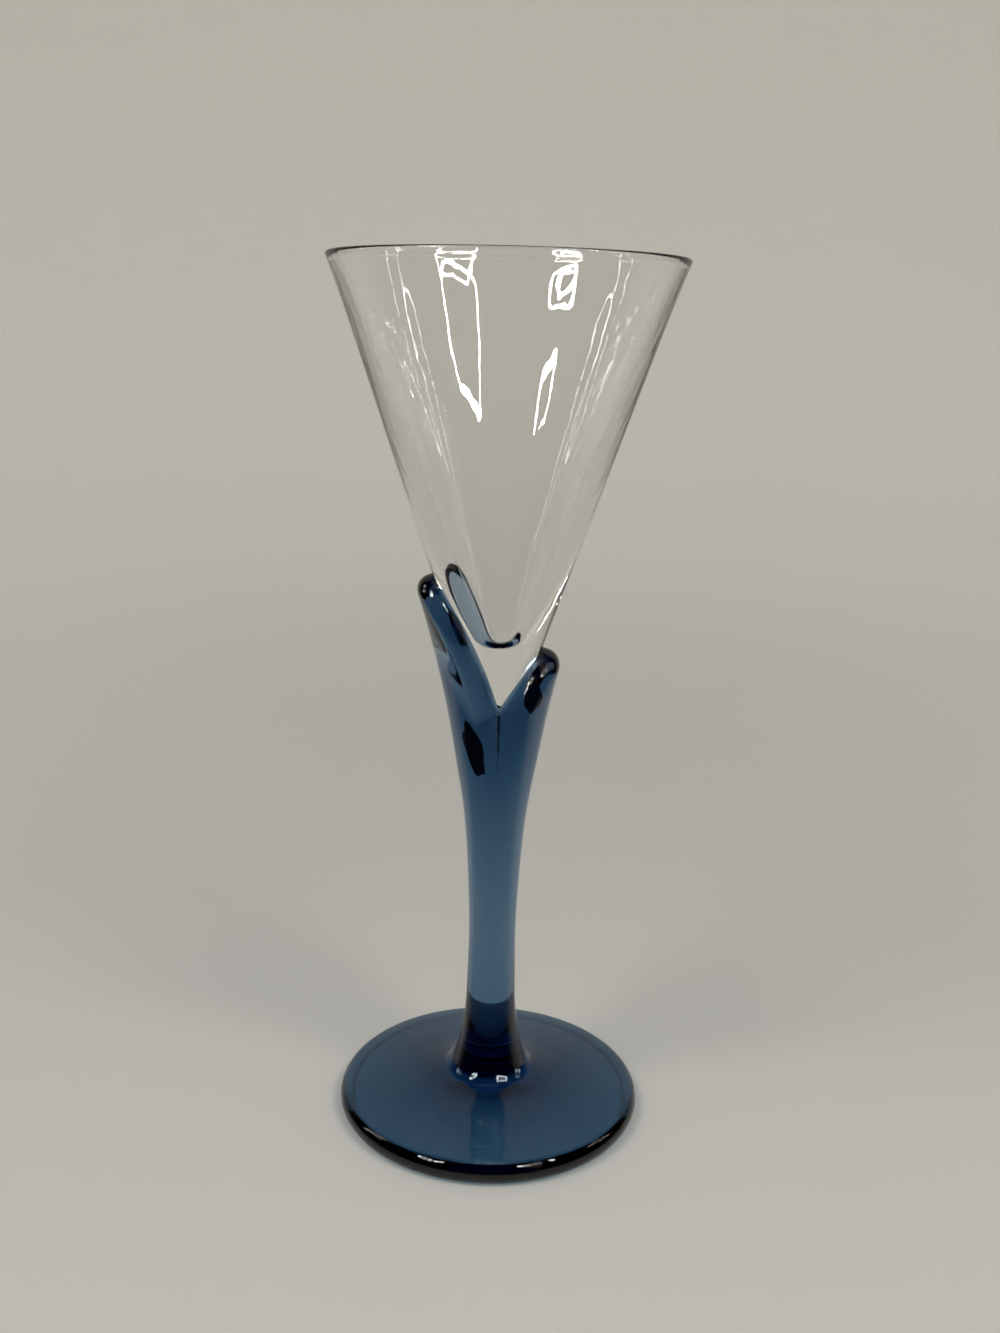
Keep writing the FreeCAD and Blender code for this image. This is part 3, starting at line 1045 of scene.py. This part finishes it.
@dataclass
class Foot:
    """Blue foot, turned from its half section."""

    shape: FootShape
    finish: GlassFinish
    steps_round: int = 224
    joint_steps: int = 6
    upper_steps: int = 60
    edge_steps: int = 24
    ring_steps: int = 2
    kick_steps: int = 30

    def section(self) -> np.ndarray:
        """Half section from the joint's middle over the edge to the underside's middle."""
        shape = self.shape
        seat = np.array([shape.joint_radius, shape.joint_height - FUSED_GAP])
        edge_top = np.array([shape.radius - shape.edge_reach, shape.edge_thickness])
        edge_side = np.array([shape.radius, shape.edge_thickness / 2])
        half_ring = np.array([shape.ring_width / 2, 0.0])
        ring = np.array([shape.ring_radius, 0.0])
        ring_outer, ring_inner = ring + half_ring, ring - half_ring
        radii = [seat[0], *between(seat[0], edge_top[0], shape.radius_shares), edge_top[0]]
        heights = [seat[1], *between(edge_top[1], seat[1], shape.rise_shares), edge_top[1]]
        places = np.linspace(seat[0], edge_top[0], self.upper_steps + 1)
        upper = smooth_curve(radii, heights)(places)
        kick_radius = (ring_inner[0] ** 2 + shape.kick**2) / (2 * shape.kick)
        turns = np.linspace(math.asin(ring_inner[0] / kick_radius), 0, self.kick_steps + 1)
        kick = np.stack([kick_radius * np.sin(turns), shape.kick - kick_radius * (1 - np.cos(turns))], axis=1)
        return joined([
            straight(np.array([0.0, seat[1]]), seat, self.joint_steps),
            np.stack([places, upper], axis=1),
            arc_through(edge_top, edge_side, ring_outer, self.edge_steps),
            straight(ring_outer, ring_inner, self.ring_steps),
            kick,
        ])

    def build(self, tree: TurningTree) -> bpy.types.Object:
        """Turn the foot and mark the disc where the stem is fused to it.

        Args:
            tree: The tree that turns half sections.

        Returns:
            The finished foot.
        """
        foot = tree.turn("foot_disc", self.section(), self.steps_round, self.finish.build(True))
        seat = self.shape.joint_height - 2 * FUSED_GAP
        points = foot.data.vertices
        fused = [all(points[corner].co.z > seat for corner in face.vertices) for face in foot.data.polygons]
        mark(foot, "fused", "FACE", fused)
        return foot


@dataclass(frozen=True)
class LoopLamp:
    """A lamp tube bent to a rounded rectangle, seen as a bright loop in the glass."""

    name: str
    azimuth: float
    elevation: float
    distance: float
    width: float = 0.30
    height: float = 0.20
    side_tube: float = 0.017
    end_tube: float = 0.008
    corner: float = 0.06
    roll: float = 0.0
    soft_width: float = 0.30
    soft_height: float = 0.20
    corner_steps: int = 8

    def loop(self, side_inset: float, end_inset: float) -> np.ndarray:
        """Outline of the loop, drawn in from its sides and its ends, in its own plane."""
        half = np.array([self.width / 2 - side_inset, self.height / 2 - end_inset])
        corner = np.minimum(self.corner - np.array([side_inset, end_inset]) / 2, half)
        places = []
        for quarter, (sx, sy) in enumerate(((1, 1), (-1, 1), (-1, -1), (1, -1))):
            for step in range(self.corner_steps + 1):
                turn = (quarter + step / self.corner_steps) * math.pi / 2
                centre = np.array([sx, sy]) * (half - corner)
                places.append(centre + corner * np.array([math.cos(turn), math.sin(turn)]))
        return np.array(places)

    def build(self, aim: Vector, finish: bpy.types.Material) -> None:
        """Make the lamp, facing a point.

        Args:
            aim: The point that the lamp faces.
            finish: Material of the tube.
        """
        place = self.place(aim)
        turn = (aim - place).to_track_quat("Z", "Y").to_matrix() @ Matrix.Rotation(self.roll, 3, "Z")
        rows = [
            np.array([place + turn @ Vector((x, y, 0.0)) for x, y in outline])
            for outline in (self.loop(0.0, 0.0), self.loop(self.side_tube, self.end_tube))
        ]
        points, faces, _ = joined_rows(rows)
        lamp = object_of(self.name, points, faces, smooth=False)
        lamp.data.materials.append(finish)
        lamp.visible_diffuse = False

    def place(self, aim: Vector) -> Vector:
        """Middle of the lamp, seen from the point that it faces."""
        level = self.distance * math.cos(self.elevation)
        across, along = level * math.sin(self.azimuth), -level * math.cos(self.azimuth)
        return aim + Vector((across, along, self.distance * math.sin(self.elevation)))

    def cast(self, name: str, aim: Vector, power: float) -> None:
        """Add the soft light that the lamp casts on the paper, and that the glass doesn't show.

        Args:
            name: The light's name.
            aim: The point that the light faces.
            power: Its power in watts.
        """
        data = bpy.data.lights.new(name, "AREA")
        data.shape = "RECTANGLE"
        data.size, data.size_y = self.soft_width, self.soft_height
        data.energy = power
        light = bpy.data.objects.new(name, data)
        place = self.place(aim)
        turn = (place - aim).to_track_quat("Z", "Y").to_matrix().to_4x4()
        light.matrix_world = Matrix.Translation(place) @ turn
        light.visible_glossy = False
        light.visible_transmission = False
        bpy.context.scene.collection.objects.link(light)


@dataclass
class Studio:
    """Pale paper that curves up all round, lamps, dark flag, gauze and the room's even light."""

    floor_radius: float = 1.1
    floor_steps: int = 11
    bend_radius: float = 0.5
    wall_height: float = 1.6
    steps_round: int = 96
    bend_steps: int = 16
    aim: Vector = field(default_factory=lambda: Vector((0.0, 0.0, 0.09)))
    flag_left: float = math.radians(-208)
    flag_right: float = math.radians(12)
    flag_fade: float = math.radians(34)
    flag_steps: int = 33
    flag_near: float = 0.040
    flag_near_fade: float = 0.004
    flag_far: float = 0.95
    flag_height: float = 1.1
    flag_roof_reach: float = 0.05
    flag_roof_fade: float = 0.4
    gauze: float = 0.26
    gauze_half_angle: float = math.radians(42)
    gauze_fade: float = math.radians(26)
    gauze_top_start: float = 0.62
    gauze_top_fade: float = 0.2
    flag_lift: float = 0.002
    world_colour: tuple = (0.42, 0.415, 0.40)
    world_strength: float = 1.12
    # Darker paper near the glass is painted shade, lighter paper far off is painted light
    paper_colour: tuple = (0.44, 0.43, 0.405)
    far_paper_colour: tuple = (0.885, 0.87, 0.82)
    far_paper_start: float = 0.08
    lamp_colour: tuple = (1.0, 0.985, 0.95)
    lamp_glow: float = 60.0
    side_lamp_glow: float = 18.0
    soft_power: float = 2.95
    front_lamps: tuple = (
        LoopLamp(
            "lamp_right",
            azimuth=math.radians(46.5),
            elevation=math.radians(48.8),
            distance=0.75,
            height=0.165,
            roll=math.radians(4.5),
        ),
        LoopLamp(
            "lamp_left_upper",
            azimuth=math.radians(-53),
            elevation=math.radians(50.8),
            distance=0.77,
            width=0.22,
            height=0.075,
            corner=0.03,
            roll=math.radians(-12),
        ),
        LoopLamp(
            "lamp_left_lower",
            azimuth=math.radians(-49.5),
            elevation=math.radians(42.3),
            distance=0.75,
            width=0.15,
            height=0.07,
            end_tube=0.014,
            corner=0.035,
        ),
    )
    side_lamps: tuple = tuple(
        LoopLamp(name, azimuth, math.radians(28), 0.8, width=0.12, height=0.36, side_tube=0.008)
        for name, azimuth in (("lamp_side_right", math.radians(97)), ("lamp_side_left", math.radians(-97)))
    )

    def paper(self) -> None:
        """Floor and wall of paper, in one sweep."""
        angle = np.linspace(0, math.tau, self.steps_round, endpoint=False)
        sweep = [np.array([[0.0, 0.0, 0.0]])]
        for radius in steps_to(0, self.floor_radius, self.floor_steps):
            sweep.append(ring_points(angle, radius, 0.0))
        for turn in steps_to(0, math.pi / 2, self.bend_steps):
            radius = self.floor_radius + self.bend_radius * math.sin(turn)
            sweep.append(ring_points(angle, radius, self.bend_radius * (1 - math.cos(turn))))
        reach = self.floor_radius + self.bend_radius
        wall = [ring_points(angle, reach, height) for height in (self.bend_radius, self.wall_height)]
        colours = self.paper_colour, self.far_paper_colour
        finish = PaperFinish(*colours, far_start=self.far_paper_start, far_end=self.floor_radius).build()
        for name, rows in (("paper_sweep", sweep), ("paper_wall", wall)):
            points, faces, _ = joined_rows(rows)
            part = object_of(name, points, faces)
            part.data.materials.append(finish)

    def flag(self) -> None:
        """Black cloth round and above the front, and thin gauze behind, all with soft borders.

        They show only in the glass, to light that it has mirrored on its way. The carpet on the
        floor and the gauze dome show only where that light goes through no glass after it.
        """
        front = np.linspace(self.flag_left, self.flag_right, self.flag_steps)
        side = smooth_step(np.minimum(front - self.flag_left, self.flag_right - front) / self.flag_fade)
        reach = np.linspace(self.flag_near, self.flag_far, self.flag_steps)
        near = smooth_step((reach - self.flag_near) / self.flag_near_fade)
        carpet = self.cloth("dark_carpet", front, [(r, self.flag_lift) for r in reach], np.outer(near, side))
        rise = [(self.flag_far, z) for z in np.linspace(self.flag_lift, self.flag_height, self.flag_steps)]
        inward = np.linspace(self.flag_far, self.flag_roof_reach, self.flag_steps)[1:]
        rise += [(r, self.flag_height) for r in inward]
        upright = np.ones(self.flag_steps)
        roof = smooth_step((inward - self.flag_roof_reach) / self.flag_roof_fade)
        self.cloth("dark_flag", front, rise, np.outer(np.concatenate([upright, roof]), side))
        around = np.linspace(0, math.tau, 2 * self.flag_steps)
        from_back = np.abs(wrapped(around - math.pi / 2))
        aside = smooth_step((from_back - self.gauze_half_angle) / self.gauze_fade)
        top = smooth_step((self.gauze_top_start - inward) / self.gauze_top_fade)
        dense = np.maximum.outer(np.concatenate([0 * upright, top]), aside)
        dome = self.cloth("gauze_dome", around, rise, self.gauze + (1 - self.gauze) * dense)
        for only_mirrored in (carpet, dome):
            only_mirrored.visible_transmission = False

    def cloth(
        self, name: str, angle: np.ndarray, half_section: Sequence[tuple], veil: np.ndarray
    ) -> bpy.types.Object:
        """Turn a half section through the given angles into cloth that only the glass can show.

        Args:
            name: The cloth's name.
            angle: Angles round the axis.
            half_section: Radius and height of each row.
            veil: How dense the cloth is, 0 to 1, for each row and angle.

        Returns:
            The cloth.
        """
        rows = [ring_points(angle, radius, height) for radius, height in half_section]
        points, faces, _ = joined_rows(rows, closed=False)
        cloth = object_of(name, points, faces, smooth=False)
        mark(cloth, "veil", "POINT", veil)
        cloth.data.materials.append(FlagFinish().build())
        cloth.visible_camera = False
        cloth.visible_diffuse = False
        cloth.visible_shadow = False
        return cloth

    def lamps(self) -> None:
        """The loop lamps that the glass mirrors, and the soft light that two of them cast."""
        for kind, glow, lamps in (
            (Lamp.FRONT, self.lamp_glow, self.front_lamps),
            (Lamp.SIDE, self.side_lamp_glow, self.side_lamps),
        ):
            tube = LampFinish(kind, self.lamp_colour, glow).build()
            for lamp in lamps:
                lamp.build(self.aim, tube)
        for name, lamp in zip(("soft_light_right", "soft_light_left"), self.front_lamps):
            lamp.cast(name, self.aim, self.soft_power)

    def world(self) -> None:
        """Even light from the room."""
        world = bpy.data.worlds.new("room")
        world.use_nodes = True
        light = {"Color": self.world_colour + OPAQUE, "Strength": self.world_strength}
        Bench(world.node_tree).fill(world.node_tree.nodes["Background"], light)
        bpy.context.scene.world = world

    def build(self) -> None:
        """Make the whole studio."""
        self.paper()
        self.flag()
        self.lamps()
        self.world()


@dataclass(frozen=True)
class Viewpoint:
    """The photograph's camera, found from the rim, the foot and the silhouette."""

    distance: float = 305.0 * MILLIMETRE
    height: float = 194.8 * MILLIMETRE
    pitch: float = math.radians(14.48)
    yaw: float = math.radians(-0.06)
    roll: float = math.radians(1.43)
    focal_pixels: float = 1316.0
    image_height_pixels: float = 1333.0
    sensor: float = 36.0
    clip_start: float = 0.01
    clip_end: float = 20.0

    def build(self) -> None:
        """Make the camera and look through it."""
        data = bpy.data.cameras.new("viewer")
        data.sensor_fit = "AUTO"
        data.sensor_width = self.sensor
        data.lens = self.focal_pixels / self.image_height_pixels * self.sensor
        data.clip_start, data.clip_end = self.clip_start, self.clip_end
        camera = bpy.data.objects.new("viewer", data)
        look = Matrix.Rotation(self.yaw, 4, "Z") @ Matrix.Rotation(math.pi / 2 - self.pitch, 4, "X")
        turned = look @ Matrix.Rotation(self.roll, 4, "Z")
        camera.matrix_world = Matrix.Translation((0.0, -self.distance, self.height)) @ turned
        bpy.context.scene.collection.objects.link(camera)
        bpy.context.scene.camera = camera


def light_paths() -> None:
    """Let light cross all the walls of the glass, and keep colours plain."""
    scene = bpy.context.scene
    scene.view_settings.view_transform = "Standard"
    settings = scene.cycles
    settings.max_bounces = MOST_CROSSINGS
    settings.transmission_bounces = MOST_CROSSINGS
    settings.transparent_max_bounces = MOST_CROSSINGS
    settings.glossy_bounces = 12
    settings.diffuse_bounces = 4
    settings.caustics_reflective = False
    settings.caustics_refractive = True
    settings.sample_clamp_indirect = 0.0


def main() -> None:
    """Build the glass and its studio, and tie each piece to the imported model."""
    logging.basicConfig(level=logging.INFO, format="%(name)s: %(message)s")
    bowl_box, stem_box, foot_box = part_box("bowl"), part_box("calyx_stem"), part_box("foot")
    bowl_shape = BowlShape.fitted(bowl_box)
    calyx_shape = CalyxShape(bowl=bowl_shape, joint_height=stem_box[0].z)
    foot_shape = FootShape(radius=foot_box[1].x, joint_height=stem_box[0].z)
    clear = GlassFinish("clear_bowl_glass", streak_depth=0.016 * MILLIMETRE)
    blue = GlassFinish("blue_glass_stem", absorbed=(165.0, 114.0, 76.0), seed=3.0)
    # Same blue glass as the stem; the foot's stronger absorption in red and green is painted shade, for the
    # shade under the foot
    blue_foot_with_painted_shade = GlassFinish("blue_glass_foot_painted_shade", absorbed=(222.0, 128.0, 76.0), lamp_share=0.76, seed=7.0)
    tree = TurningTree()
    pieces = {
        "bowl": Bowl(bowl_shape, calyx_shape, clear, FusedFinish()).build(tree),
        "calyx_stem": CalyxStem(calyx_shape, blue).build(),
        "foot": Foot(foot_shape, blue_foot_with_painted_shade).build(tree),
    }
    for node, piece in pieces.items():
        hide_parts(node)
        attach(piece, BODY)
        LOG.info("%s stands for %s: %d faces", piece.name, node, len(piece.data.polygons))
    Studio().build()
    Viewpoint().build()
    light_paths()


if __name__ == "__main__":
    main()
